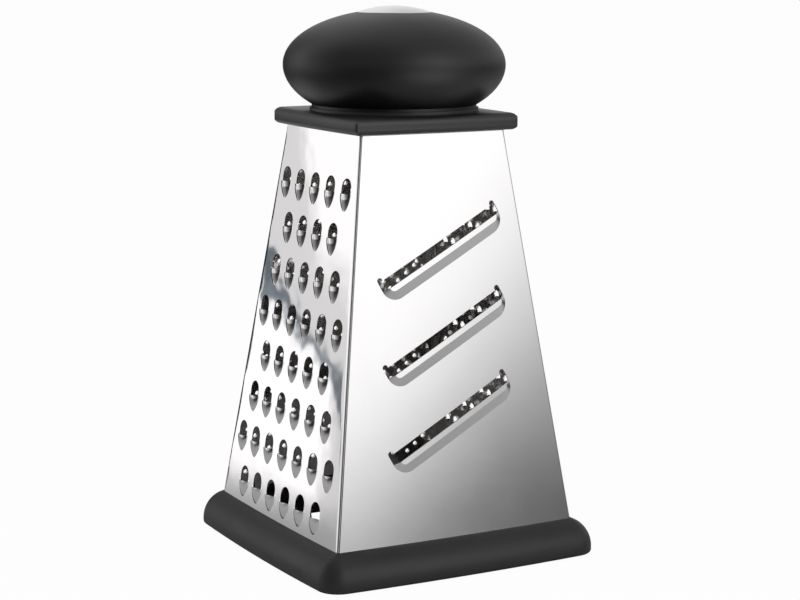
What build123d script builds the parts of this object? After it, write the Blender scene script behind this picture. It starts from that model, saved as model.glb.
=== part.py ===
from build123d import *
import math
import os

os.makedirs("parts", exist_ok=True)

# All lengths are millimetres; the grater stands on Z = 0, slicing wall toward -Y, coarse wall toward -X.
cut_overrun = 2.0                 # how far cutting tools run past the faces they cut
tile_border = 4.0                 # plain sheet around an opening while it is shaped

# steel body: a square pyramid stump of four separate walls
floor_half = 58.19                # corner-to-centre half width of the walls, carried down to Z = 0
head_half = 34.06                 # the same half width under the cap
steel_head = 180.4                # underside of the cap, where the top flanges lie
sheet = 0.6                       # steel thickness
bend_radius = 1.5                 # outside radius of the corner bends
bend_leg = 1.2                    # flat strip of each bend that runs into its wall
lap_gap = 0.02                    # air between a lap flange and the wall in front of it
lap_width = 4.5                   # width of the flange lapped behind the neighbouring wall
lap_drop = 2.4                    # the laps stop this far below the cap
seam_inset = 0.9                  # how far the outer walls stop short of the corner
flange_reach = 9.0                # how far the top flanges reach in from the wall
flange_miter = 2.6                # relief at the ends of the top flanges
plain_head = 20.0                 # strip without teeth or holes under the cap

# coarse wall: rows of scooped teeth
tooth_half_width = 4.0
tooth_rise = 1.9                  # height of the cutting edge above the wall
tooth_scoop = 7.3                 # length of the raised scoop below the cutting edge
tooth_hole = 6.4                  # length of the hole above the cutting edge
tooth_skin = 0.45                 # steel left where a tooth is drawn out
tooth_pitch = 13.8                # along a row
tooth_row_pitch = 19.0            # from row to row, up the wall
tooth_edge_start = 24.6           # cutting edges of the lowest row, up the wall from Z = 0
tooth_margin = 8.0                # clear strip between the middle of the outer teeth and the corner

# medium wall: the same tooth in a smaller size
drop_half_width = 1.9
drop_rise = 1.1
drop_scoop = 3.6
drop_hole = 3.0
drop_skin = 0.4
drop_pitch = 6.6
drop_row_pitch = 9.68
drop_edge_start = 19.2
drop_margin = 7.2

# fine wall: a staggered field of small round holes
prick_radius = 1.0
prick_pitch = 7.6
prick_row_pitch = 3.37
prick_start = 22.6
prick_margin = 6.8

# slicing wall: three louvred slots, each rising to the right
slot_angle = 27.5
slot_length = 64.4
slot_opening = 4.0                # from the cutting edge to the upper edge of the slot
slot_ear_radius = 1.2             # rounded relief at both ends of the upper edge
slot_ear_rise = 1.7               # how far the relief reaches past the upper edge
lip_width = 6.6                   # from the foot of the ramp to the cutting edge
lip_rise = 2.0                    # height of the cutting edge above the wall
lip_crest = 2.2                   # flat strip at the top of the ramp
lip_end = 2.8                     # how far the round ends of the ramp slope
slot_edges = (62.4, 97.8, 133.2)  # middle of each cutting edge, up the wall from Z = 0

# base: hard frame that holds the steel, inside a soft non-slip ring
ring_reach = 6.66                 # widest outline of the ring outside the walls' foot line
ring_bow = 2.0
ring_corner_spare = 0.1           # what the corner radius has over the width of the ring's top
ring_widest = 2.5                 # height of the widest line
ring_top = 14.8
ring_shoulder = 9.2               # how far the top edge sits inside the widest line
ring_sole_radius = 1.4
ring_lap = 0.6                    # flat strip inside that edge
sole = 1.6                        # soft layer under the frame
frame_step = 5.2                  # frame outline inside the widest line
frame_corner = 4.0
frame_wall_top = 9.5
frame_floor = 2.7                 # hard floor between the sole and the steel
frame_reach = 7.84                # inner edge of the frame floor inside the walls' foot line
rib_end = 22.19                   # the ribs stop this far short of the walls' foot line
rib_thickness = 2.2
rib_height = 6.7
fit_gap = 0.05                    # working gap between moulded faces and the sheet

# cap plate
cap_reach = 4.34                  # widest outline of the cap outside the head of the walls
cap_bow = 1.0
cap_corner = 1.5                  # small: the rounded top and bottom edges meet at it in a mitre
cap_thickness = 7.2
cap_upper_round = 3.3
cap_lower_round = 2.8
cap_skin = 2.8                    # thickness over the pocket
pocket_inset = 11.06              # pocket inside the head of the walls
pocket_corner = 4.0

# clamping plate inside the body
plate_inset = 1.86                # plate inside the head of the walls
plate_corner = 3.0
plate_thickness = 1.2

# knob: hard hollow core under a soft shell, bare disc on top
knob_radius = 47.2
knob_rise = 23.2                  # from the widest line to the crown, without the disc
knob_fall = 24.8                  # the lower curve, carried down past the neck
grip_skin = 2.6
core_wall = 3.0
neck_radius = 35.0
neck_rise = 1.26                  # straight neck between the foot flange and the curve
foot_lip = 0.9                    # how far the foot flange shows outside the neck
foot_height = 1.2
disc_radius = 15.6
disc_fit = 0.3                    # gap between the disc and the soft shell
disc_sink = 2.7                   # from the crown down to the seat of the disc
disc_rim = 1.4                    # straight edge of the disc
disc_dome = 2.7                   # height of the dome above that edge

# screws up through plate and cap into the core
screw_offset = 15.0
screw_radius = 2.0
screw_clearance = 0.2
screw_head_radius = 4.0
screw_head_height = 2.6
screw_head_round = 1.0
screw_reach = 12.4                # length in the core
screw_bore_spare = 1.5            # depth of the bore past the tip
recess_length = 4.6
recess_width = 1.0
recess_depth = 1.4
washer_radius = 5.2
washer_thickness = 1.0
boss_radius = 4.6

# sizes that follow from the body's
steel_foot = sole + frame_floor
ring_half = floor_half + ring_reach
ring_corner = ring_shoulder + ring_lap + ring_corner_spare
rib_half_span = floor_half - rib_end
rib_top = steel_foot + rib_height
cap_half = head_half + cap_reach
pocket_half = head_half - pocket_inset
plate_half = head_half - plate_inset

# the pyramid that the four walls belong to, and the plane of the front wall's outer face
wall_slope = math.atan2(floor_half - head_half, steel_head)
slope_length = floor_half * steel_head / (floor_half - head_half) / math.cos(wall_slope)
front_wall = Plane(origin=(0, -floor_half, 0), x_dir=(1, 0, 0),
                   z_dir=(0, -math.cos(wall_slope), math.sin(wall_slope)))
corner_foot = Vector(-floor_half, -floor_half, 0)
corner_rise = (Vector(-head_half, -head_half, steel_head) - corner_foot).normalized()
front_inward = (Vector(1, 0, 0) - corner_rise * corner_rise.X).normalized()
side_inward = (Vector(0, 1, 0) - corner_rise * corner_rise.Y).normalized()
corner_angle = math.acos(front_inward.dot(side_inward))
edge_lean = math.atan2(floor_half, slope_length)
wall_head = steel_head / math.cos(wall_slope)
wall_top = wall_head + cut_overrun

# the corner bend in the plane square to the corner: where its two outer faces would meet
lap_offset = sheet + lap_gap
bend_outer = lap_offset / math.sin(corner_angle)
bend_tangent = bend_radius / math.tan(corner_angle / 2)
bend_inset = bend_outer + bend_tangent

# the knob's heights
cap_top = steel_head + cap_thickness
plate_top = steel_head - sheet
foot_radius = neck_radius + foot_lip
foot_top = cap_top + foot_height
knob_middle = foot_top + neck_rise + knob_fall * math.sqrt(1 - (neck_radius / knob_radius) ** 2)
disc_seat = knob_middle + knob_rise - disc_sink
core_radius = knob_radius - grip_skin
core_rise = knob_rise - grip_skin
core_fall = knob_fall - grip_skin
hollow_radius = core_radius - core_wall
hollow_rise = core_rise - core_wall
hollow_fall = core_fall - core_wall
core_neck = neck_radius - grip_skin


def half_width_at(up):
    """Corner-to-centre half width of a wall at a distance up its slope."""
    return floor_half * (1 - up / slope_length)


def wall_sheet(inset):
    """Plain sheet of the front wall whose side edges stop short of the corners by an inset."""
    side = inset / math.cos(edge_lean)
    foot, head = half_width_at(0) - side, half_width_at(wall_top) - side
    with BuildPart() as flat:
        with BuildSketch(front_wall):
            with BuildLine():
                Polyline((-foot, 0), (foot, 0), (head, wall_top), (-head, wall_top), close=True)
            make_face()
        extrude(amount=-sheet)
        with Locations((0, -floor_half / 2, (steel_foot + steel_head) / 2)):
            Box(2 * floor_half, 2 * floor_half, steel_head - steel_foot, mode=Mode.INTERSECT)
    return flat.part


def pierced(blank, tile, places):
    """A wall with one copy of a tile's opening at each place: holed faces and copied faces, sewn up."""
    border = tile.bounding_box().max
    rims = [face for face in tile.faces() if face.inner_wires()]
    rims = sorted(rims, key=lambda face: -face.center().Z)
    kept = [face for face in tile.faces() if face.bounding_box().max.X < border.X - sheet
            and face.bounding_box().max.Y < border.Y - sheet]
    spots = [front_wall.location * Location((across, up, 0)) for across, up in places]
    faces = sorted(blank.faces(), key=lambda face: face.area)
    skins = [[face for face in faces if face.normal_at().dot(front_wall.z_dir) * way > math.cos(wall_slope)][-1]
             for way in (1, -1)]
    rest = [face for face in faces if face not in skins]
    holed = [Face(skin.outer_wire(), [hole.moved(spot) for spot in spots for hole in rim.inner_wires()])
             for skin, rim in zip(skins, rims)]
    return Solid(Shell(rest + holed + [face.moved(spot) for spot in spots for face in kept]))


def top_flange():
    """Horizontal flange at the head of the front wall, gripped under the cap."""
    outer, inner = head_half - flange_miter, head_half - flange_miter - flange_reach
    with BuildPart() as flange:
        with BuildSketch(Plane.XY.offset(plate_top)):
            with BuildLine():
                Polyline((-outer, -head_half + sheet / 2), (outer, -head_half + sheet / 2),
                         (inner, -head_half + flange_reach), (-inner, -head_half + flange_reach),
                         close=True)
            make_face()
        extrude(amount=sheet)
    return flange.part


def corner_strip():
    """Bend and lap flange on the left edge of the front wall."""
    sine, cosine = math.sin(corner_angle), math.cos(corner_angle)
    inward = Vector(sine, -cosine)
    along = Vector(cosine, sine)
    meet = Vector(bend_outer, 0)
    slide = (sheet + (lap_offset + sheet) * cosine) / sine
    meet_inside = inward * (lap_offset + sheet) + along * slide
    lap_end = meet + along * (bend_tangent + lap_width)
    leg_end = bend_inset + bend_leg
    with BuildPart() as strip:
        with BuildSketch(Plane(origin=corner_foot, x_dir=front_inward, z_dir=corner_rise)) as profile:
            with BuildLine():
                Polyline((leg_end, 0), (meet.X, 0), (lap_end.X, lap_end.Y),
                         ((lap_end + inward * sheet).X, (lap_end + inward * sheet).Y),
                         (meet_inside.X, meet_inside.Y), (leg_end, sheet), close=True)
            make_face()
            fillet(profile.vertices().sort_by_distance((meet.X, 0, 0))[0], radius=bend_radius)
            fillet(profile.vertices().sort_by_distance((meet_inside.X, meet_inside.Y, 0))[0],
                   radius=bend_radius - sheet)
        extrude(amount=(steel_head + 2 * cut_overrun) / corner_rise.Z)
        with Locations((0, 0, (steel_foot + steel_head) / 2)):
            Box(2 * floor_half, 2 * floor_half, steel_head - steel_foot, mode=Mode.INTERSECT)
        with Locations((-floor_half / 2, -head_half + bend_radius, steel_head - lap_drop)):
            Box(floor_half, floor_half, lap_drop + cut_overrun, mode=Mode.SUBTRACT,
                align=(Align.CENTER, Align.MIN, Align.MIN))
    return strip.part


def tooth_shell(half_width, rise, scoop, skin):
    """The raised scoop of one tooth, cutting edge at the origin, point toward -Y."""
    axis_depth = (half_width * half_width - rise * rise) / (2 * rise)
    arc_radius = (scoop * scoop + rise * rise) / (2 * rise)
    drop = arc_radius - math.sqrt(arc_radius * arc_radius - scoop * scoop / 4)
    with BuildPart() as shell:
        with BuildSketch(Plane.YZ):
            with BuildLine():
                ThreePointArc((0, rise), (-scoop / 2, rise - drop), (-scoop, 0))
                Line((-scoop, 0), (-scoop, -skin))
                ThreePointArc((-scoop, -skin), (-scoop / 2, rise - drop - skin), (0, rise - skin))
                Line((0, rise - skin), (0, rise))
            make_face()
        revolve(axis=Axis((0, 0, -axis_depth), (0, 1, 0)), revolution_arc=360)
        split(bisect_by=Plane.XY.offset(-sheet / 2), keep=Keep.TOP)
    return shell.part


def tooth_tile(half_width, rise, scoop, hole, skin):
    """A patch of sheet with one tooth: the hole above the cutting edge, the scoop below it."""
    shell = tooth_shell(half_width, rise, scoop, skin)
    with BuildPart() as tile:
        with Locations((0, (hole - scoop) / 2, -sheet / 2)):
            Box(2 * half_width + tile_border, hole + scoop + tile_border, sheet)
        with BuildSketch(Plane.XY.offset(cut_overrun)):
            SlotOverall(2 * hole, 2 * half_width, rotation=90)
            with Locations((0, -hole)):
                Rectangle(2 * half_width, 2 * hole, mode=Mode.SUBTRACT)
            Ellipse(half_width - skin, scoop - 2 * skin)
        extrude(amount=-sheet - 2 * cut_overrun, mode=Mode.SUBTRACT)
        add(shell)
    return tile.part


def field(pitch, row_pitch, start, margin, lead):
    """Staggered places on the front wall, as many as its width and height leave room for."""
    places = []
    for row in range(int((wall_head - plain_head - start) / row_pitch) + 1):
        up = start + row * row_pitch
        room = half_width_at(up) - margin
        shift = ((row + lead) % 2) / 2
        reach = int(room / pitch) + 1
        for step in range(-reach, reach + 1):
            if abs((step + shift) * pitch) <= room:
                places.append(((step + shift) * pitch, up))
    return places


# the two walls that carry the corner bends, and the two that close over their laps
strip = corner_strip()
flange = top_flange()
with BuildPart() as bent_blank:
    add(wall_sheet(bend_inset))
    add([strip, strip.mirror(Plane.YZ), flange])
with BuildPart() as straight_blank:
    add(wall_sheet(seam_inset))
    add(flange)

# coarse wall
coarse_places = field(tooth_pitch, tooth_row_pitch, tooth_edge_start, tooth_margin, 1)
coarse_tile = tooth_tile(tooth_half_width, tooth_rise, tooth_scoop, tooth_hole, tooth_skin)
with BuildPart() as coarse_panel:
    add(pierced(straight_blank.part, coarse_tile, coarse_places).rotate(Axis.Z, -90))

# medium wall
medium_places = field(drop_pitch, drop_row_pitch, drop_edge_start, drop_margin, 1)
medium_tile = tooth_tile(drop_half_width, drop_rise, drop_scoop, drop_hole, drop_skin)
with BuildPart() as medium_panel:
    add(pierced(straight_blank.part, medium_tile, medium_places).rotate(Axis.Z, 90))

# fine wall
fine_places = field(prick_pitch, prick_row_pitch, prick_start, prick_margin, 0)
with BuildPart() as prick_tile:
    Box(4 * prick_radius, 4 * prick_radius, sheet, align=(Align.CENTER, Align.CENTER, Align.MAX))
    Cylinder(prick_radius, 4 * sheet, mode=Mode.SUBTRACT)
with BuildPart() as fine_panel:
    add(pierced(bent_blank.part, prick_tile.part, fine_places).rotate(Axis.Z, 180))

# slicing wall: below each slot the sheet is drawn out into a ramp that ends in the cutting edge
def lip_form(sink):
    """Lower half of a flat-topped mound with sloping round ends; its straight side is the cutting edge."""
    with BuildPart() as form:
        with BuildSketch(Plane.XY.offset(-sink)):
            SlotOverall(slot_length, 2 * lip_width)
        with BuildSketch(Plane.XY.offset(lip_rise - sink)):
            SlotOverall(slot_length - 2 * lip_end, 2 * lip_crest)
        loft(ruled=True)
        with BuildSketch(Plane.XY.offset(-sink)):
            SlotOverall(slot_length, 2 * lip_width)
        extrude(amount=-sheet / 2 - 2 * sink)
        split(bisect_by=Plane.XZ, keep=Keep.TOP)
    return form.part


lip_sink = sheet / math.cos(math.atan2(lip_rise, lip_width - lip_crest))
lip_outer = lip_form(0)
lip_inner = lip_form(lip_sink)
slot_spots = [front_wall.location * Location((0, up, 0), (0, 0, slot_angle)) for up in slot_edges]
with BuildPart() as slot_tool:
    with BuildSketch(Plane.XY.offset(cut_overrun)):
        with Locations((0, slot_opening / 2)):
            Rectangle(slot_length, slot_opening)
        ear_across = slot_length / 2 - slot_ear_radius
        with Locations(*[(side * ear_across, slot_opening + slot_ear_rise - slot_ear_radius) for side in (-1, 1)]):
            Circle(slot_ear_radius)
    extrude(amount=-sheet - 2 * cut_overrun)
with BuildPart() as slicing_panel:
    add(bent_blank.part)
    with Locations(*slot_spots):
        add(lip_outer)
    with Locations(*slot_spots):
        add(lip_inner, mode=Mode.SUBTRACT)
    with Locations(*slot_spots):
        add(slot_tool.part, mode=Mode.SUBTRACT)


def bowed_square(half, bow, corner, level):
    """A square outline with slightly bulging sides, its corners rounded or left sharp, at a height."""
    with BuildSketch(Plane.XY.offset(level)) as outline:
        with BuildLine():
            ThreePointArc((-half, -half), (0, -half - bow), (half, -half))
            ThreePointArc((half, -half), (half + bow, 0), (half, half))
            ThreePointArc((half, half), (0, half + bow), (-half, half))
            ThreePointArc((-half, half), (-half - bow, 0), (-half, -half))
        make_face()
        if corner:
            fillet(outline.vertices(), radius=corner)
    return outline.sketch


# the space that the steel walls stand in, from their outer faces inward
def steel_space(depth, level_from, level_to):
    """A solid pyramid stump inside the walls' outer faces by a depth, between two heights."""
    slack = depth / math.cos(wall_slope)
    halves = [floor_half - level * math.tan(wall_slope) - slack for level in (level_from, level_to)]
    with BuildPart() as space:
        for half, level in zip(halves, (level_from, level_to)):
            with BuildSketch(Plane.XY.offset(level)):
                Rectangle(2 * half, 2 * half)
        loft(ruled=True)
    return space.part


# soft non-slip ring: its outside bulges out to the widest line, its sole runs in under the frame
ring_outline = bowed_square(ring_half, ring_bow, ring_corner, ring_widest)
ring_path = ring_outline.face().outer_wire()
ring_start = ring_path @ 0
ring_inward = Vector(0, 0, 1).cross(ring_path % 0)
if ring_inward.dot(ring_start) > 0:
    ring_inward = -ring_inward
ring_rise = ring_top - ring_widest
ring_arc = (ring_shoulder * ring_shoulder + ring_rise * ring_rise) / (2 * ring_shoulder)
ring_half_in = ring_arc - math.sqrt(ring_arc * ring_arc - ring_rise * ring_rise / 4)
sole_half_in = ring_sole_radius * (1 - math.sin(math.pi / 4))
ring_inner = ring_shoulder + ring_lap
frame_outline = bowed_square(ring_half - frame_step, ring_bow, frame_corner, 0)
frame_opening = 2 * (floor_half - frame_reach)
frame_space = steel_space(-fit_gap, steel_foot, ring_top + cut_overrun)
ring_fill = offset(ring_outline, amount=-ring_shoulder - ring_lap / 2)
with BuildPart() as base_bumper:
    with BuildSketch(Plane(origin=ring_start, x_dir=ring_inward,
                           z_dir=ring_inward.cross(Vector(0, 0, 1)))):
        with BuildLine():
            ThreePointArc((0, 0), (ring_half_in, ring_rise / 2), (ring_shoulder, ring_rise))
            Polyline((ring_shoulder, ring_rise), (ring_inner, ring_rise), (ring_inner, -ring_widest),
                     (ring_sole_radius, -ring_widest))
            ThreePointArc((ring_sole_radius, -ring_widest), (sole_half_in, sole_half_in - ring_widest),
                          (0, ring_sole_radius - ring_widest))
            Line((0, ring_sole_radius - ring_widest), (0, 0))
        make_face()
    sweep(path=ring_path)
    extrude(ring_fill, amount=ring_top - ring_widest)
    extrude(frame_outline, amount=frame_wall_top)
    extrude(frame_outline.moved(Location((0, 0, sole))), amount=frame_wall_top - sole, mode=Mode.SUBTRACT)
    add(frame_space, mode=Mode.SUBTRACT)
    with Locations((0, 0, -cut_overrun)):
        Box(frame_opening, frame_opening, sole + 2 * cut_overrun, mode=Mode.SUBTRACT,
            align=(Align.CENTER, Align.CENTER, Align.MIN))

# hard frame: a floor that carries the steel, an outer wall around it and a rib inside each wall
with BuildPart() as rib:
    with BuildSketch(front_wall.offset(-sheet - fit_gap)):
        with Locations((0, rib_top)):
            Rectangle(2 * rib_half_span, 2 * rib_top)
    extrude(amount=-rib_thickness)
    with Locations((0, -floor_half, steel_foot)):
        Box(2 * floor_half, floor_half, rib_top - steel_foot, mode=Mode.INTERSECT,
            align=(Align.CENTER, Align.CENTER, Align.MIN))
with BuildPart() as base_frame:
    extrude(frame_outline.moved(Location((0, 0, sole))), amount=frame_wall_top - sole)
    add(frame_space, mode=Mode.SUBTRACT)
    Box(frame_opening, frame_opening, ring_top, mode=Mode.SUBTRACT)
    add([rib.part.rotate(Axis.Z, turn) for turn in (0, 90, 180, 270)])

# cap plate: rounded edges, a pocket underneath and four posts that stand on the clamping plate
screw_spots = [(east * screw_offset, north * screw_offset) for east in (-1, 1) for north in (-1, 1)]
with BuildPart() as top_cap:
    extrude(bowed_square(cap_half, cap_bow, 0, steel_head), amount=cap_thickness)
    fillet(top_cap.faces().sort_by(Axis.Z)[-1].edges(), radius=cap_upper_round)
    fillet(top_cap.faces().sort_by(Axis.Z)[0].edges(), radius=cap_lower_round)
    extrude(bowed_square(cap_half, cap_bow, cap_corner, steel_head), amount=cap_thickness,
            mode=Mode.INTERSECT)
    with BuildSketch(Plane.XY.offset(steel_head)):
        RectangleRounded(2 * pocket_half, 2 * pocket_half, pocket_corner)
    extrude(amount=cap_thickness - cap_skin, mode=Mode.SUBTRACT)
    with BuildSketch(Plane.XY.offset(plate_top)):
        with Locations(*screw_spots):
            Circle(boss_radius)
    extrude(amount=cap_thickness)
    with BuildSketch(Plane.XY.offset(plate_top)):
        with Locations(*screw_spots):
            Circle(screw_radius + screw_clearance)
    extrude(amount=2 * cap_thickness, mode=Mode.SUBTRACT)

# clamping plate: grips the top flanges of the walls against the cap
plate_foot = plate_top - plate_thickness
with BuildPart() as retaining_plate:
    with BuildSketch(Plane.XY.offset(plate_foot)):
        RectangleRounded(2 * plate_half, 2 * plate_half, plate_corner)
        with Locations(*screw_spots):
            Circle(screw_radius + screw_clearance, mode=Mode.SUBTRACT)
    extrude(amount=plate_thickness)


def height_on(radius, full_radius, rise):
    """Height over the widest line of a knob surface at a radius."""
    return rise * math.sqrt(1 - radius * radius / (full_radius * full_radius))


# knob core: foot flange, curved shell, flat seat for the disc, and four screw posts inside
seat_radius = disc_radius + disc_fit
core_neck_top = knob_middle - height_on(core_neck, core_radius, core_fall)
core_seat_foot = knob_middle + height_on(seat_radius, core_radius, core_rise)
hollow_neck = core_neck - core_wall
hollow_neck_top = knob_middle - height_on(hollow_neck, hollow_radius, hollow_fall)


def knob_side(radius, rise, fall, neck, crown):
    """The curved side of the knob from a neck radius up to a radius at the crown."""
    low = math.degrees(math.acos(neck / radius))
    high = math.degrees(math.acos(crown / radius))
    EllipticalCenterArc((0, knob_middle), radius, fall, start_angle=-low, arc_size=low)
    EllipticalCenterArc((0, knob_middle), radius, rise, start_angle=0, arc_size=high)


with BuildPart() as knob_hollow:
    with BuildSketch(Plane.XZ):
        with BuildLine():
            knob_side(hollow_radius, hollow_rise, hollow_fall, hollow_neck, 0)
            Polyline((0, knob_middle + hollow_rise), (0, cap_top), (hollow_neck, cap_top),
                     (hollow_neck, hollow_neck_top))
        make_face()
    revolve(axis=Axis.Z)
    with BuildSketch(Plane.XY.offset(cap_top)):
        with Locations(*screw_spots):
            Circle(boss_radius)
    extrude(amount=disc_seat - cap_top, mode=Mode.SUBTRACT)
with BuildPart() as knob_core:
    with BuildSketch(Plane.XZ):
        with BuildLine():
            Polyline((core_neck, core_neck_top), (core_neck, foot_top), (foot_radius, foot_top),
                     (foot_radius, cap_top), (0, cap_top), (0, disc_seat), (seat_radius, disc_seat),
                     (seat_radius, core_seat_foot))
            knob_side(core_radius, core_rise, core_fall, core_neck, seat_radius)
        make_face()
    revolve(axis=Axis.Z)
    add(knob_hollow.part, mode=Mode.SUBTRACT)
    with BuildSketch(Plane.XY.offset(cap_top)):
        with Locations(*screw_spots):
            Circle(screw_radius)
    extrude(amount=screw_reach + screw_bore_spare, mode=Mode.SUBTRACT)

# knob grip: soft shell over the core, open around the disc
grip_neck_top = knob_middle - height_on(neck_radius, knob_radius, knob_fall)
grip_rim = knob_middle + height_on(seat_radius, knob_radius, knob_rise)
with BuildPart() as knob_grip:
    with BuildSketch(Plane.XZ):
        with BuildLine():
            knob_side(knob_radius, knob_rise, knob_fall, neck_radius, seat_radius)
            Line((seat_radius, grip_rim), (seat_radius, core_seat_foot))
            knob_side(core_radius, core_rise, core_fall, core_neck, seat_radius)
            Polyline((core_neck, core_neck_top), (core_neck, foot_top), (neck_radius, foot_top),
                     (neck_radius, grip_neck_top))
        make_face()
    revolve(axis=Axis.Z)

# domed metal disc on the crown
disc_edge = disc_seat + disc_rim
dome_radius = (disc_radius * disc_radius + disc_dome * disc_dome) / (2 * disc_dome)
dome_half_drop = dome_radius - math.sqrt(dome_radius * dome_radius - disc_radius * disc_radius / 4)
with BuildPart() as knob_badge:
    with BuildSketch(Plane.XZ):
        with BuildLine():
            Polyline((0, disc_edge + disc_dome), (0, disc_seat), (disc_radius, disc_seat),
                     (disc_radius, disc_edge))
            ThreePointArc((disc_radius, disc_edge),
                          (disc_radius / 2, disc_edge + disc_dome - dome_half_drop),
                          (0, disc_edge + disc_dome))
        make_face()
    revolve(axis=Axis.Z)

# washers and screws, driven from inside the body up into the core
washer_foot = plate_foot - washer_thickness
with BuildPart() as screw_washers:
    with BuildSketch(Plane.XY.offset(washer_foot)):
        with Locations(*screw_spots):
            Circle(washer_radius)
            Circle(screw_radius + screw_clearance, mode=Mode.SUBTRACT)
    extrude(amount=washer_thickness)
with BuildPart() as knob_screws:
    with BuildSketch(Plane.XY.offset(washer_foot - screw_head_height)):
        with Locations(*screw_spots):
            Circle(screw_head_radius)
    extrude(amount=screw_head_height)
    fillet(knob_screws.faces().group_by(Axis.Z)[0].edges(), radius=screw_head_round)
    with BuildSketch(Plane.XY.offset(washer_foot)):
        with Locations(*screw_spots):
            Circle(screw_radius)
    extrude(amount=cap_top + screw_reach - washer_foot)
    with BuildSketch(Plane.XY.offset(washer_foot - screw_head_height)):
        with Locations(*screw_spots):
            Rectangle(recess_length, recess_width)
            Rectangle(recess_width, recess_length)
    extrude(amount=recess_depth, mode=Mode.SUBTRACT)

pieces = {
    "coarse_panel": coarse_panel, "slicing_panel": slicing_panel,
    "medium_panel": medium_panel, "fine_panel": fine_panel,
    "base_frame": base_frame, "base_bumper": base_bumper,
    "top_cap": top_cap, "retaining_plate": retaining_plate,
    "knob_core": knob_core, "knob_grip": knob_grip, "knob_badge": knob_badge,
    "knob_screws": knob_screws, "screw_washers": screw_washers,
}
for name, piece in pieces.items():
    piece.part.label = name
    export_step(piece.part, f"parts/{name}.step")
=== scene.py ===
import math

import bmesh
import bpy
from mathutils import Matrix, Vector


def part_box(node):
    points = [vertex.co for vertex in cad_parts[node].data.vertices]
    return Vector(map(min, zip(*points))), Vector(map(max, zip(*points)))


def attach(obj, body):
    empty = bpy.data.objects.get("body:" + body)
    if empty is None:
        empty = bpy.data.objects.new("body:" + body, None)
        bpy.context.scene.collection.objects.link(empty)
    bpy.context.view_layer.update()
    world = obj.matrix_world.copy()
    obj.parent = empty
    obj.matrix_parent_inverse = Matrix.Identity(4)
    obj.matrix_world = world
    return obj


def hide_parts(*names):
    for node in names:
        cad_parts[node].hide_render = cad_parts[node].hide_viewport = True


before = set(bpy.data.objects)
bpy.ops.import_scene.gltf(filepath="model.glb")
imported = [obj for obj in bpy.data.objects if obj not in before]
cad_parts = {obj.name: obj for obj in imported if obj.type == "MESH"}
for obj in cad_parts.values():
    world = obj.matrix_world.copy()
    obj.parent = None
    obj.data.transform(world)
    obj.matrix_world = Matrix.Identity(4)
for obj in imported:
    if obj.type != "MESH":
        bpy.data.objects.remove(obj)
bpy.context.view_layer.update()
scene = bpy.context.scene
print("frame loaded,", len(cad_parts), "nodes")


# shader helpers

def newGroup(name, inputs, outputs):
    group = bpy.data.node_groups.new(name, "ShaderNodeTree")
    for label, value in inputs:
        socket = group.interface.new_socket(label, in_out="INPUT", socket_type="NodeSocketFloat")
        socket.default_value = value
    for label, kind in outputs:
        group.interface.new_socket(label, in_out="OUTPUT", socket_type=kind)
    return group, group.nodes.new("NodeGroupInput"), group.nodes.new("NodeGroupOutput")


def feed(links, socket, value):
    if isinstance(value, (int, float)):
        socket.default_value = value
    else:
        links.new(value, socket)


def mathNode(nodes, links, operation, first, second):
    node = nodes.new("ShaderNodeMath")
    node.operation = operation
    feed(links, node.inputs[0], first)
    feed(links, node.inputs[1], second)
    return node.outputs[0]


# eases a value from low to high between start and end
def rampNode(nodes, links, value, start, end, low=0.0, high=1.0):
    ramp = nodes.new("ShaderNodeMapRange")
    ramp.interpolation_type = "SMOOTHSTEP"
    values = {"Value": value, "From Min": start, "From Max": end, "To Min": low, "To Max": high}
    for label, number in values.items():
        feed(links, ramp.inputs[label], number)
    return ramp.outputs["Result"]


def noiseNode(nodes, links, place, scale, detail):
    noise = nodes.new("ShaderNodeTexNoise")
    noise.inputs["Detail"].default_value = detail
    links.new(place, noise.inputs["Vector"])
    feed(links, noise.inputs["Scale"], scale)
    return noise


# scales are in features per metre, before each look's own fineness or grain size
grainPattern = {"stretch": 0.02, "lines": 2600.0, "lineDetail": 3.0, "lineRoughness": 0.65, "haze": 34.0,
                "hazeDetail": 4.0, "waveDetail": 1.0}
skinPattern = {"grain": 2400.0, "grainDetail": 2.0, "cloud": 45.0, "cloudDetail": 5.0}


# fine lines drawn out along Z, as on rolled sheet: a height and a roughness that vary along them, and a slow
# wave for what the sheet mirrors
def buildSheetGrain():
    group, start, end = newGroup("sheetGrain", [("Fineness", 1.0), ("Base Roughness", 0.2), ("Spread", 0.1),
                                                ("Wave Scale", 55.0)],
                                 [("Height", "NodeSocketFloat"), ("Roughness", "NodeSocketFloat"),
                                  ("Wave", "NodeSocketFloat")])
    nodes, links = group.nodes, group.links
    place = nodes.new("ShaderNodeTexCoord").outputs["Object"]
    stretch = nodes.new("ShaderNodeMapping")
    stretch.inputs["Scale"].default_value = (1.0, 1.0, grainPattern["stretch"])
    links.new(place, stretch.inputs["Vector"])
    fineness = mathNode(nodes, links, "MULTIPLY", start.outputs["Fineness"], grainPattern["lines"])
    lines = noiseNode(nodes, links, stretch.outputs["Vector"], fineness, grainPattern["lineDetail"])
    lines.inputs["Roughness"].default_value = grainPattern["lineRoughness"]
    haze = noiseNode(nodes, links, place, grainPattern["haze"], grainPattern["hazeDetail"])
    both = mathNode(nodes, links, "MULTIPLY", lines.outputs["Fac"], haze.outputs["Fac"])
    rough = mathNode(nodes, links, "MULTIPLY", both, start.outputs["Spread"])
    links.new(mathNode(nodes, links, "ADD", rough, start.outputs["Base Roughness"]), end.inputs["Roughness"])
    links.new(lines.outputs["Fac"], end.inputs["Height"])
    wave = noiseNode(nodes, links, place, start.outputs["Wave Scale"], grainPattern["waveDetail"])
    links.new(wave.outputs["Fac"], end.inputs["Wave"])
    return group


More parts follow.
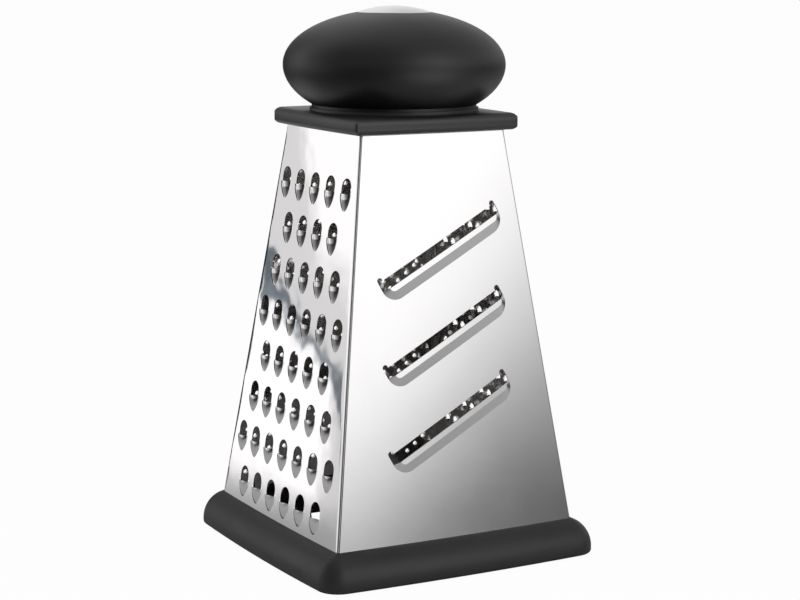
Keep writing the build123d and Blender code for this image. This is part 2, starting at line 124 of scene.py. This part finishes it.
# the slight orange peel and cloudiness of moulded rubber and plastic
def buildMouldedSkin():
    group, start, end = newGroup("mouldedSkin", [("Grain Size", 1.0), ("Base Roughness", 0.5), ("Spread", 0.2)],
                                 [("Height", "NodeSocketFloat"), ("Roughness", "NodeSocketFloat"),
                                  ("Cloud", "NodeSocketFloat")])
    nodes, links = group.nodes, group.links
    place = nodes.new("ShaderNodeTexCoord").outputs["Object"]
    size = mathNode(nodes, links, "DIVIDE", skinPattern["grain"], start.outputs["Grain Size"])
    grain = noiseNode(nodes, links, place, size, skinPattern["grainDetail"])
    cloud = noiseNode(nodes, links, place, skinPattern["cloud"], skinPattern["cloudDetail"])
    rough = mathNode(nodes, links, "MULTIPLY", cloud.outputs["Fac"], start.outputs["Spread"])
    links.new(mathNode(nodes, links, "ADD", rough, start.outputs["Base Roughness"]), end.inputs["Roughness"])
    links.new(grain.outputs["Fac"], end.inputs["Height"])
    links.new(cloud.outputs["Fac"], end.inputs["Cloud"])
    return group


sheetGrain = buildSheetGrain()
mouldedSkin = buildMouldedSkin()


def newMaterial(name):
    material = bpy.data.materials.new(name)
    material.use_nodes = True
    nodes = material.node_tree.nodes
    return material, nodes, material.node_tree.links, nodes["Principled BSDF"]


bumpDepths = {"wave": 0.0001, "lines": 0.00002, "skin": 0.00005}


def addBump(nodes, links, shader, height, strength, distance, under=None):
    bump = nodes.new("ShaderNodeBump")
    bump.inputs["Strength"].default_value = strength
    bump.inputs["Distance"].default_value = distance
    links.new(height, bump.inputs["Height"])
    if under:
        links.new(under, bump.inputs["Normal"])
    links.new(bump.outputs["Normal"], shader.inputs["Normal"])
    return bump.outputs["Normal"]


def steelMaterial(name, look):
    material, nodes, links, shader = newMaterial(name)
    shader.inputs["Metallic"].default_value = look["metal"]
    shader.inputs["Base Color"].default_value = (*look["color"], 1.0)
    grain = nodes.new("ShaderNodeGroup")
    grain.node_tree = sheetGrain
    for label, key in (("Fineness", "fineness"), ("Base Roughness", "roughness"), ("Spread", "spread"),
                       ("Wave Scale", "waveScale")):
        grain.inputs[label].default_value = look[key]
    links.new(grain.outputs["Roughness"], shader.inputs["Roughness"])
    slow = addBump(nodes, links, shader, grain.outputs["Wave"], look["wave"], bumpDepths["wave"])
    addBump(nodes, links, shader, grain.outputs["Height"], look["bump"], bumpDepths["lines"], slow)
    return material


def mouldedMaterial(name, look):
    material, nodes, links, shader = newMaterial(name)
    skin = nodes.new("ShaderNodeGroup")
    skin.node_tree = mouldedSkin
    for label, key in (("Grain Size", "grainSize"), ("Base Roughness", "roughness"), ("Spread", "spread")):
        skin.inputs[label].default_value = look[key]
    links.new(skin.outputs["Roughness"], shader.inputs["Roughness"])
    tint = nodes.new("ShaderNodeMix")
    tint.data_type = "RGBA"
    tint.inputs["A"].default_value = (*look["dark"], 1.0)
    tint.inputs["B"].default_value = (*look["light"], 1.0)
    links.new(skin.outputs["Cloud"], tint.inputs["Factor"])
    links.new(tint.outputs["Result"], shader.inputs["Base Color"])
    shader.inputs["Specular IOR Level"].default_value = look["gloss"]
    addBump(nodes, links, shader, skin.outputs["Height"], look["bump"], bumpDepths["skin"])
    return material


# satin on three walls, a mirror on the coarse one; inside, a little of the light is scattered
steelLooks = {
    "satinSteel": {"metal": 1.0, "color": (0.78, 0.78, 0.78), "fineness": 1.0, "roughness": 0.1, "spread": 0.1,
                   "bump": 0.08, "wave": 0.12, "waveScale": 55.0},
    "mirrorSteel": {"metal": 1.0, "color": (0.8, 0.795, 0.8), "fineness": 1.0, "roughness": 0.03, "spread": 0.06,
                    "bump": 0.03, "wave": 0.7, "waveScale": 70.0},
    "insideSteel": {"metal": 0.85, "color": (0.82, 0.8, 0.77), "fineness": 0.7, "roughness": 0.05, "spread": 0.08,
                    "bump": 0.1, "wave": 0.35, "waveScale": 330.0},
    "cutSteel": {"metal": 1.0, "color": (0.45, 0.45, 0.45), "fineness": 1.0, "roughness": 0.35, "spread": 0.2,
                 "bump": 0.3, "wave": 0.0, "waveScale": 55.0},
    # painted shade: the closing walls' seam cut faces are coloured darker than other cut steel, standing in for
    # the shade of the seam groove
    "paintedSeamShadeSteel": {"metal": 1.0, "color": (0.24, 0.24, 0.24), "fineness": 1.0, "roughness": 0.35, "spread": 0.2,
                  "bump": 0.3, "wave": 0.0, "waveScale": 55.0},
    "plainSteel": {"metal": 1.0, "color": (0.6, 0.61, 0.62), "fineness": 0.6, "roughness": 0.3, "spread": 0.2,
                   "bump": 0.3, "wave": 0.2, "waveScale": 55.0},
    "badgeSteel": {"metal": 1.0, "color": (0.86, 0.86, 0.86), "fineness": 0.8, "roughness": 0.3, "spread": 0.15,
                   "bump": 0.15, "wave": 0.1, "waveScale": 55.0},
}
mouldedLooks = {
    "baseRubber": {"dark": (0.003, 0.003, 0.003), "light": (0.021, 0.021, 0.0215), "grainSize": 1.0,
                   "roughness": 0.36, "spread": 0.2, "gloss": 0.48, "bump": 0.2},
    "capPlastic": {"dark": (0.008, 0.008, 0.008), "light": (0.02, 0.02, 0.0205), "grainSize": 1.0,
                   "roughness": 0.36, "spread": 0.15, "gloss": 0.65, "bump": 0.2},
    "gripRubber": {"dark": (0.004, 0.004, 0.004), "light": (0.009, 0.009, 0.009), "grainSize": 0.8,
                   "roughness": 0.38, "spread": 0.15, "gloss": 0.5, "bump": 0.2},
    "corePlastic": {"dark": (0.03, 0.03, 0.031), "light": (0.05, 0.05, 0.052), "grainSize": 1.2,
                    "roughness": 0.4, "spread": 0.2, "gloss": 0.5, "bump": 0.3},
    "framePlastic": {"dark": (0.012, 0.012, 0.0125), "light": (0.024, 0.024, 0.025), "grainSize": 1.4,
                     "roughness": 0.5, "spread": 0.2, "gloss": 0.4, "bump": 0.4},
}
materials = {name: steelMaterial(name, look) for name, look in steelLooks.items()}
materials.update({name: mouldedMaterial(name, look) for name, look in mouldedLooks.items()})
print("materials made")


# weld and cut are the distances within which points count as one
wallValues = {"weld": 0.000002, "cut": 1e-7, "sharp": 32, "flatFacing": 0.99995, "innerShare": 0.7,
              "plainHead": 0.0045, "edgeRoll": 0.0013, "edgeDrop": 0.00018, "edgeCuts": (0.3, 0.6, 0.85),
              "edgeNear": 0.00002, "edgeFacing": 0.5}
bodyValues = {"footHalf": 0.05819, "headHalf": 0.03406, "head": 0.1804, "bulgeFoot": 0.0013, "bulgeHead": 0.0004,
              "sheet": 0.0006, "seam": 0.0009}
lean = math.atan2(bodyValues["footHalf"] - bodyValues["headHalf"], bodyValues["head"])


# a CAD node's mesh as a merged bmesh
def weldedCopy(node):
    shape = bmesh.new()
    shape.from_mesh(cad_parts[node].data)
    bmesh.ops.remove_doubles(shape, verts=shape.verts, dist=wallValues["weld"])
    return shape


# places a finished bmesh in the scene in place of a CAD node
def finishPiece(name, shape, finishes, node, sharpAngle):
    limit = math.radians(sharpAngle)
    for edge in shape.edges:
        if edge.smooth:
            edge.smooth = len(edge.link_faces) == 2 and edge.calc_face_angle(0.0) < limit
    for face in shape.faces:
        face.smooth = True
    mesh = bpy.data.meshes.new(name)
    shape.to_mesh(mesh)
    shape.free()
    for finish in finishes:
        mesh.materials.append(materials[finish])
    piece = bpy.data.objects.new(name, mesh)
    scene.collection.objects.link(piece)
    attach(piece, "root")
    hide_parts(node)
    return piece


# half the body's width at a height, between its flat walls
def halfWidth(height):
    share = height / bodyValues["head"]
    return bodyValues["footHalf"] + (bodyValues["headHalf"] - bodyValues["footHalf"]) * share


# the walls belly outward between their corners
def bulged(point):
    half = halfWidth(point.z)
    share = point.z / bodyValues["head"]
    amount = bodyValues["bulgeFoot"] + (bodyValues["bulgeHead"] - bodyValues["bulgeFoot"]) * share
    alongX = max(0.0, 1 - (point.x / half) ** 2)
    alongY = max(0.0, 1 - (point.y / half) ** 2)
    return Vector((point.x * (1 + amount / half * alongY), point.y * (1 + amount / half * alongX), point.z))


# how far a point of a closing wall lies from the upright edge of that wall
def fromEdge(point, across):
    return halfWidth(point.z) - bodyValues["seam"] - abs(point[across])


def cutThrough(shape, spot, normal):
    bmesh.ops.bisect_plane(shape, geom=shape.verts[:] + shape.edges[:] + shape.faces[:], dist=wallValues["cut"],
                           plane_co=spot, plane_no=normal)


# a copy of a CAD wall, cut into a grid so that it can belly out smoothly
def copyWall(node, across, grid):
    shape = weldedCopy(node)
    low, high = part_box(node)
    for axis in (2, across):
        direction = Vector((0, 0, 0))
        direction[axis] = 1
        for step in range(1, int((high[axis] - low[axis]) / grid) + 1):
            cutThrough(shape, direction * (low[axis] + step * grid), direction)
    return shape


# the inner side gets its own finish, and the flat sheet is shaded apart from the teeth drawn out of it
def dressWall(shape, outward):
    square = outward * math.cos(lean) + Vector((0, 0, math.sin(lean)))
    flat = set()
    for face in shape.faces:
        centre = face.calc_center_median()
        depth = halfWidth(centre.z) - centre.dot(outward)
        turn = face.normal.dot(square)
        if abs(turn) > wallValues["flatFacing"]:
            flat.add(face)
        face.material_index = 1 if turn < 0 and depth > bodyValues["sheet"] * wallValues["innerShare"] else 0
    for edge in shape.edges:
        sides = [face in flat for face in edge.link_faces]
        edge.smooth = len(set(sides)) == 1


# raised rims: each hole of the fine wall is pricked outward into a small toothed crown
fineHoles = {"radius": 0.001, "pitch": 0.0076, "rowPitch": 0.00337, "start": 0.0226, "margin": 0.0068,
             "plainHead": 0.02, "steps": 12, "sink": 0.00006, "rise": 0.00045, "point": 0.0002, "lip": 0.00012,
             "skirt": 0.00075, "pointEvery": 3}


def addRims(shape):
    slope = bodyValues["footHalf"] / math.sin(lean)
    rims = bmesh.new()
    radius, rise, lip = fineHoles["radius"], fineHoles["rise"], fineHoles["lip"]
    outline = [(radius - fineHoles["sink"], -fineHoles["sink"]), (radius, rise), (radius + lip, rise),
               (radius + fineHoles["skirt"], -fineHoles["sink"])]
    verts = [rims.verts.new((across, 0, up)) for across, up in outline]
    edges = [rims.edges.new((verts[index - 1], verts[index])) for index in range(len(verts))]
    bmesh.ops.spin(rims, geom=verts + edges, cent=(0, 0, 0), axis=(0, 0, 1), steps=fineHoles["steps"],
                   angle=2 * math.pi, use_merge=True)
    for vert in rims.verts:
        turn = round(math.atan2(vert.co.y, vert.co.x) / (2 * math.pi) * fineHoles["steps"])
        if vert.co.z > 0 and turn % fineHoles["pointEvery"] == 0:
            vert.co.z += fineHoles["point"]
    bmesh.ops.recalc_face_normals(rims, faces=rims.faces)
    rim = bpy.data.meshes.new("rim")
    rims.to_mesh(rim)
    rims.free()
    square = Matrix(((-1, 0, 0), (0, -math.sin(lean), math.cos(lean)), (0, math.cos(lean), math.sin(lean))))
    square.transpose()  # its columns run across the wall, up it and out of it
    rows = int((bodyValues["head"] / math.cos(lean) - fineHoles["plainHead"] - fineHoles["start"])
               / fineHoles["rowPitch"]) + 1
    count = 0
    foot = Vector((0, bodyValues["footHalf"], 0))
    for row in range(rows):
        up = fineHoles["start"] + row * fineHoles["rowPitch"]
        room = bodyValues["footHalf"] * (1 - up / slope) - fineHoles["margin"]
        reach = int(room / fineHoles["pitch"]) + 1
        for step in range(-reach, reach + 1):
            across = (step + row % 2 / 2) * fineHoles["pitch"]
            if abs(across) <= room:
                place = Matrix.Translation(foot + square @ Vector((across, up, 0))) @ square.to_4x4()
                rim.transform(place)
                shape.from_mesh(rim)
                rim.transform(place.inverted())
                count += 1
    print(count, "rims added")


# the closing walls: both upright edges roll in a little, and their cut faces are painted dark as the shade of the
# seam groove
def rollEdges(shape, across, outward):
    for side in (-1, 1):
        normal = Vector((0, 0, math.sin(lean)))
        normal[across] = side * math.cos(lean)
        for share in wallValues["edgeCuts"]:
            spot = Vector((0, 0, 0))
            spot[across] = side * (halfWidth(0.0) - bodyValues["seam"] - wallValues["edgeRoll"] * share)
            cutThrough(shape, spot, normal)
    for face in shape.faces:
        atEdge = fromEdge(face.calc_center_median(), across) < wallValues["edgeNear"]
        if atEdge and abs(face.normal.dot(outward)) < wallValues["edgeFacing"]:
            # these seam cut faces take the fourth finish, the seam's painted shade
            face.material_index = 3
    for vert in shape.verts:
        share = 1 - fromEdge(vert.co, across) / wallValues["edgeRoll"]
        if share > 0 and vert.co.z < bodyValues["head"] - wallValues["plainHead"]:
            vert.co -= outward * min(share, 1.0) ** 2 * wallValues["edgeDrop"]


# the bends of the wrapping walls, as the solids have them and as they are drawn; step is one facet's turn
bendValues = {"lapOffset": 0.000626, "radius": 0.00149, "drawn": 0.0005, "step": 0.13, "room": 0.00001,
              "outerShare": 0.85}


# the wrapping walls: their corner bends are drawn tighter, so that each corner reads as a thin line
def tightenBends(shape):
    radius, drawn, step = bendValues["radius"], bendValues["drawn"], bendValues["step"]
    for vert in shape.verts:
        half = halfWidth(vert.co.z)
        inX = radius - (half - bendValues["lapOffset"] - abs(vert.co.x))
        inY = radius - (half - abs(vert.co.y))
        if min(inX, inY) < bendValues["room"] or math.hypot(inX, inY) < radius * bendValues["outerShare"]:
            continue
        turned = math.atan2(inY, inX)
        left = math.pi / 2 - turned
        if turned < step:
            offX, offY = 0.0, radius + (drawn - radius) * turned / step
        elif left < step:
            offX, offY = radius + (drawn - radius) * left / step, 0.0
        else:
            turned = (turned - step) / (1 - 4 * step / math.pi)
            offX, offY = drawn * (1 - math.cos(turned)), drawn * (1 - math.sin(turned))
        vert.co.x = math.copysign(half - bendValues["lapOffset"] - offX, vert.co.x)
        vert.co.y = math.copysign(half - offY, vert.co.y)


walls = {
    "coarse_panel": {"piece": "coarseWall", "outward": (-1, 0, 0), "wraps": False, "finish": "mirrorSteel",
                     "grid": 0.0045},
    "slicing_panel": {"piece": "slicingWall", "outward": (0, -1, 0), "wraps": True, "finish": "satinSteel",
                      "grid": 0.0045},
    "medium_panel": {"piece": "mediumWall", "outward": (1, 0, 0), "wraps": False, "finish": "satinSteel",
                     "grid": 0.012},
    "fine_panel": {"piece": "fineWall", "outward": (0, 1, 0), "wraps": True, "finish": "satinSteel",
                   "grid": 0.012},
}
for node, wall in walls.items():
    outward = Vector(wall["outward"])
    across = 1 if outward.x else 0
    shape = copyWall(node, across, wall["grid"])
    dressWall(shape, outward)
    if node == "fine_panel":
        addRims(shape)
    finishes = [wall["finish"], "insideSteel", "cutSteel"]
    if wall["wraps"]:
        tightenBends(shape)
    else:
        rollEdges(shape, across, outward)
        finishes.append("paintedSeamShadeSteel")
    for vert in shape.verts:
        vert.co = bulged(vert.co)
    piece = finishPiece(wall["piece"], shape, finishes, node, wallValues["sharp"])
    print(wall["piece"], "made,", len(piece.data.polygons), "faces")


# the other CAD pieces, welded and smoothed: piece, finish and the record's slot
plainSharp = 30
plainPieces = {
    "base_bumper": ("baseRing", "baseRubber", "base_rubber"),
    "base_frame": ("baseFrame", "framePlastic", "frame_plastic"),
    "top_cap": ("capPlate", "capPlastic", "cap_plastic"),
    "retaining_plate": ("clampPlate", "plainSteel", "clamp_steel"),
    "knob_core": ("knobCore", "corePlastic", "core_plastic"),
    "knob_grip": ("knobGrip", "gripRubber", "grip_rubber"),
    "knob_badge": ("knobDisc", "badgeSteel", "badge_steel"),
    "knob_screws": ("knobScrews", "plainSteel", "screw_steel"),
    "screw_washers": ("screwWashers", "plainSteel", "screw_steel"),
}
for node, (piece, finish, slotName) in plainPieces.items():
    finishPiece(piece, weldedCopy(node), [finish], node, plainSharp)
print("base and knob made")


# turns are in degrees round Z from the front, heights and directions are those of the mirrored ray
studio = {"floorHalf": 15.0, "floorWhite": 0.96, "floorColor": (0.9, 0.9, 0.9), "floorRoughness": 0.8,
          "floorFadeStart": 0.12, "floorFadeEnd": 0.3, "floorMirrored": (0.55, 0.55, 0.55), "softLevel": 0.4,
          "glossLevel": 1.32, "darkHeight": -0.055, "warm": (1.0, 0.985, 0.99), "cool": (0.78, 0.92, 1.05),
          "frontLight": {"left": (4, 17), "right": (19, 33, 1.0, 0.0), "level": 0.34, "fullHeight": 0.023,
                         "aside": (60, 130, 0.09, 0.45),
                         "climbLeft": (-8, 17, 0.5, 0.0), "climbRight": (19, 45, 0.0, 0.17)},
          "back": {"acrossWay": (0.87, 0.48), "towardWay": (-0.48, 0.87), "toward": (0.5, 0.85),
                   "wave": 0.034, "waveScale": 34.0, "waveDetail": 1.5, "edge": -0.0585, "edgeTilt": 0.19,
                   "edgeThick": 0.005, "edgeTaper": 0.07, "edgeFade": (1.3, 0.9), "edgeDepth": 0.8,
                   "edgeSides": (-0.003, 0.003),
                   "upperTilt": 0.9, "upper": (-0.035, -0.003, 0.83, 1.25), "lower": (-0.175, -0.12, 0.45, 1.3),
                   "right": (-0.05, -0.08, 1.0, 0.6), "farLeft": (0.12, 0.16, 1.0, 0.03)},
          "bands": [{"left": (-135, -125), "right": (-100, -60, 1.0, 0.0), "foot": (-0.2, -0.12),
                     "head": (0.3, 0.4, 1.0, 0.0), "level": 1.1},
                    {"left": (-135, -100), "right": (0, 12, 1.0, 0.0), "foot": (0.06, 0.15),
                     "head": (0.28, 0.36, 1.0, 0.0), "level": 1.1}],
          "overhead": (0.25, 0.6, 1.0, 0.8),
          "cards": [{"way": "ADD", "toward": (0.26, -0.83, 0.5), "fade": (0.88, 0.99), "heights": (0.12, 0.2),
                     "level": 0.8},
                    {"way": "ADD", "toward": (0.16, -0.93, -0.34), "fade": (0.85, 0.97),
                     "heights": (-0.09, -0.16), "level": 1.6},
                    {"way": "ADD", "toward": (0.8, -0.2, -0.56), "fade": (0.7, 0.97), "heights": (-0.07, -0.2),
                     "level": 0.4},
                    {"way": "ADD", "toward": (-0.4, 0.72, 0.57), "fade": (0.85, 0.97), "heights": (0.1, 0.25),
                     "level": 0.4},
                    {"way": "ADD", "toward": (-0.07, 0.86, -0.5), "fade": (0.88, 0.98),
                     "heights": (-0.3, -0.42), "level": 0.8},
                    {"way": "MULTIPLY", "toward": (-0.55, 0.61, 0.57), "fade": (0.85, 0.97), "level": 0.7},
                    {"way": "MULTIPLY", "toward": (0.87, 0.1, 0.48), "fade": (0.45, 0.85), "level": 0.55},
                    {"way": "MULTIPLY", "toward": (-0.78, -0.3, 0.55), "fade": (0.4, 0.8), "level": 0.25},
                    {"way": "MULTIPLY", "toward": (0.0, 0.0, 1.0), "fade": (0.6, 0.9), "level": 0.75}]}


# a pale floor that keeps the object's shadow and that the camera sees as white
def addFloor():
    shape = bmesh.new()
    bmesh.ops.create_grid(shape, x_segments=1, y_segments=1, size=studio["floorHalf"])
    mesh = bpy.data.meshes.new("floor")
    shape.to_mesh(mesh)
    shape.free()
    floor = bpy.data.objects.new("floor", mesh)
    scene.collection.objects.link(floor)
    material, nodes, links, shader = newMaterial("paleFloor")
    shader.inputs["Roughness"].default_value = studio["floorRoughness"]
    glow = nodes.new("ShaderNodeEmission")
    rays = nodes.new("ShaderNodeLightPath")
    pale = nodes.new("ShaderNodeMix")
    pale.data_type = "RGBA"
    pale.inputs["A"].default_value = (*studio["floorColor"], 1.0)
    pale.inputs["B"].default_value = (*studio["floorMirrored"], 1.0)
    links.new(rays.outputs["Is Glossy Ray"], pale.inputs["Factor"])
    links.new(pale.outputs["Result"], shader.inputs["Base Color"])
    seen = nodes.new("ShaderNodeMixShader")
    share = mathNode(nodes, links, "MULTIPLY", rays.outputs["Is Camera Ray"], studio["floorWhite"])
    links.new(share, seen.inputs["Fac"])
    links.new(shader.outputs["BSDF"], seen.inputs[1])
    links.new(glow.outputs["Emission"], seen.inputs[2])
    # away from the object, reflections see the studio instead of the floor
    place = nodes.new("ShaderNodeTexCoord")
    far = nodes.new("ShaderNodeVectorMath")
    far.operation = "LENGTH"
    links.new(place.outputs["Object"], far.inputs[0])
    fade = rampNode(nodes, links, far.outputs["Value"], studio["floorFadeStart"], studio["floorFadeEnd"])
    clear = nodes.new("ShaderNodeBsdfTransparent")
    ends = nodes.new("ShaderNodeMixShader")
    gone = mathNode(nodes, links, "MULTIPLY", fade, rays.outputs["Is Glossy Ray"])
    links.new(gone, ends.inputs["Fac"])
    links.new(seen.outputs["Shader"], ends.inputs[1])
    links.new(clear.outputs["BSDF"], ends.inputs[2])
    links.new(ends.outputs["Shader"], nodes["Material Output"].inputs["Surface"])
    mesh.materials.append(material)


# what the steel and the gloss mirror: a strength for every direction, and a mask for its cooler part
def mirroredStudio(nodes, links):
    def calc(operation, first, second):
        return mathNode(nodes, links, operation, first, second)

    def ramp(value, values):
        return rampNode(nodes, links, value, *values)

    def along(way):
        return calc("ADD", calc("MULTIPLY", x, way[0]), calc("MULTIPLY", y, way[1]))

    direction = nodes.new("ShaderNodeTexCoord").outputs["Generated"]
    split = nodes.new("ShaderNodeSeparateXYZ")
    links.new(direction, split.inputs["Vector"])
    x, y, z = split.outputs["X"], split.outputs["Y"], split.outputs["Z"]
    turn = calc("MULTIPLY", calc("ARCTAN2", x, calc("MULTIPLY", y, -1.0)), 180 / math.pi)
    # in front: dark low down, with a soft light low at the right of the camera
    light = studio["frontLight"]
    between = calc("MULTIPLY", ramp(turn, light["left"]), ramp(turn, light["right"]))
    low = calc("ADD", calc("MULTIPLY", between, light["level"]), ramp(turn, light["aside"]))
    climb = calc("ADD", ramp(turn, light["climbLeft"]), ramp(turn, light["climbRight"]))
    front = rampNode(nodes, links, z, studio["darkHeight"], calc("ADD", climb, light["fullHeight"]), low,
                     studio["glossLevel"])
    # behind, as the coarse wall mirrors it: white below, a dark edge that wanders, grey to white above
    back = studio["back"]
    noise = noiseNode(nodes, links, direction, back["waveScale"], back["waveDetail"])
    height = calc("ADD", z, calc("MULTIPLY", calc("SUBTRACT", noise.outputs["Fac"], 0.5), back["wave"]))
    across = along(back["acrossWay"])
    leftward = calc("MAXIMUM", across, 0.0)
    above = calc("SUBTRACT", height, calc("ADD", calc("MULTIPLY", across, back["edgeTilt"]), back["edge"]))
    thick = calc("ADD", calc("MULTIPLY", leftward, back["edgeTaper"]), back["edgeThick"])
    edge = ramp(calc("DIVIDE", calc("ABSOLUTE", above, 0.0), thick), back["edgeFade"])
    upper = ramp(calc("SUBTRACT", z, calc("MULTIPLY", leftward, back["upperTilt"])), back["upper"])
    lower = calc("MULTIPLY", ramp(z, back["lower"]), ramp(across, back["right"]))
    side = ramp(above, back["edgeSides"])
    both = calc("ADD", calc("MULTIPLY", upper, side), calc("MULTIPLY", lower, calc("SUBTRACT", 1.0, side)))
    kept = calc("SUBTRACT", 1.0, calc("MULTIPLY", edge, back["edgeDepth"]))
    dimmed = calc("MULTIPLY", calc("MULTIPLY", both, kept), ramp(across, back["farLeft"]))
    toward = along(back["towardWay"])
    isBack = ramp(toward, back["toward"])
    level = calc("ADD", front, calc("MULTIPLY", isBack, calc("SUBTRACT", dimmed, front)))
    level = calc("MULTIPLY", level, ramp(z, studio["overhead"]))
    # bands that the corner bend mirrors, then soft cards that add light or take it away
    for band in studio["bands"]:
        inside = calc("MULTIPLY", calc("MULTIPLY", ramp(turn, band["left"]), ramp(turn, band["right"])),
                      calc("MULTIPLY", ramp(z, band["foot"]), ramp(z, band["head"])))
        level = calc("MAXIMUM", level, calc("MULTIPLY", inside, band["level"]))
    for card in studio["cards"]:
        facing = nodes.new("ShaderNodeVectorMath")
        facing.operation = "DOT_PRODUCT"
        facing.inputs[1].default_value = card["toward"]
        links.new(direction, facing.inputs[0])
        if card["way"] == "ADD":
            glow = calc("MULTIPLY", ramp(facing.outputs["Value"], (*card["fade"], 0.0, card["level"])),
                        ramp(z, card["heights"]))
            level = calc("ADD", level, glow)
        else:
            level = calc("MULTIPLY", level, ramp(facing.outputs["Value"], (*card["fade"], 1.0, card["level"])))
    return level, calc("MULTIPLY", edge, isBack)


def addWorld():
    world = bpy.data.worlds.new("studio")
    scene.world = world
    world.use_nodes = True
    nodes, links = world.node_tree.nodes, world.node_tree.links
    nodes.clear()
    output = nodes.new("ShaderNodeOutputWorld")
    rays = nodes.new("ShaderNodeLightPath")
    levels = {"soft": studio["softLevel"], "bright": 1.0, "mirrored": 1.0}
    lights = {}
    for name, level in levels.items():
        lights[name] = nodes.new("ShaderNodeBackground")
        lights[name].inputs["Color"].default_value = (1.0, 1.0, 1.0, 1.0)
        lights[name].inputs["Strength"].default_value = level
    strength, cool = mirroredStudio(nodes, links)
    links.new(strength, lights["mirrored"].inputs["Strength"])
    tint = nodes.new("ShaderNodeMix")
    tint.data_type = "RGBA"
    links.new(cool, tint.inputs["Factor"])
    tint.inputs["A"].default_value = (*studio["warm"], 1.0)
    tint.inputs["B"].default_value = (*studio["cool"], 1.0)
    links.new(tint.outputs["Result"], lights["mirrored"].inputs["Color"])
    glossy = nodes.new("ShaderNodeMixShader")
    links.new(rays.outputs["Is Glossy Ray"], glossy.inputs["Fac"])
    links.new(lights["soft"].outputs["Background"], glossy.inputs[1])
    links.new(lights["mirrored"].outputs["Background"], glossy.inputs[2])
    seen = nodes.new("ShaderNodeMixShader")
    links.new(rays.outputs["Is Camera Ray"], seen.inputs["Fac"])
    links.new(glossy.outputs["Shader"], seen.inputs[1])
    links.new(lights["bright"].outputs["Background"], seen.inputs[2])
    links.new(seen.outputs["Shader"], output.inputs["Surface"])


softbox = {"spot": (-0.3, -0.3, 1.4), "aim": (0, 0, 0.1), "size": 1.2, "power": 9.0}


def addLamp():
    lamp = bpy.data.lights.new("topSoftbox", "AREA")
    lamp.shape = "RECTANGLE"
    lamp.size = lamp.size_y = softbox["size"]
    lamp.energy = softbox["power"]
    holder = bpy.data.objects.new("topSoftbox", lamp)
    spot, aim = Vector(softbox["spot"]), Vector(softbox["aim"])
    holder.location = spot
    holder.rotation_euler = (aim - spot).to_track_quat("-Z", "Y").to_euler()
    holder.visible_glossy = False  # what is mirrored comes from the world alone
    scene.collection.objects.link(holder)


camera = {"spot": (-0.41975, -0.76384, 0.25283), "aim": (0.00247, -0.00137, 0.1054), "lens": 92.14, "sensor": 36.0,
          "roll": 0.214}  # roll in degrees


def addCamera():
    lens = bpy.data.cameras.new("photoCamera")
    lens.sensor_width = camera["sensor"]
    lens.lens = camera["lens"]
    holder = bpy.data.objects.new("photoCamera", lens)
    spot, aim = Vector(camera["spot"]), Vector(camera["aim"])
    roll = Matrix.Rotation(math.radians(camera["roll"]), 3, "Z")
    turn = (aim - spot).to_track_quat("-Z", "Y").to_matrix() @ roll
    holder.matrix_world = Matrix.Translation(spot) @ turn.to_4x4()
    scene.collection.objects.link(holder)
    scene.camera = holder


addFloor()
addWorld()
addLamp()
addCamera()
scene.view_settings.view_transform = "Standard"
print("stage made")
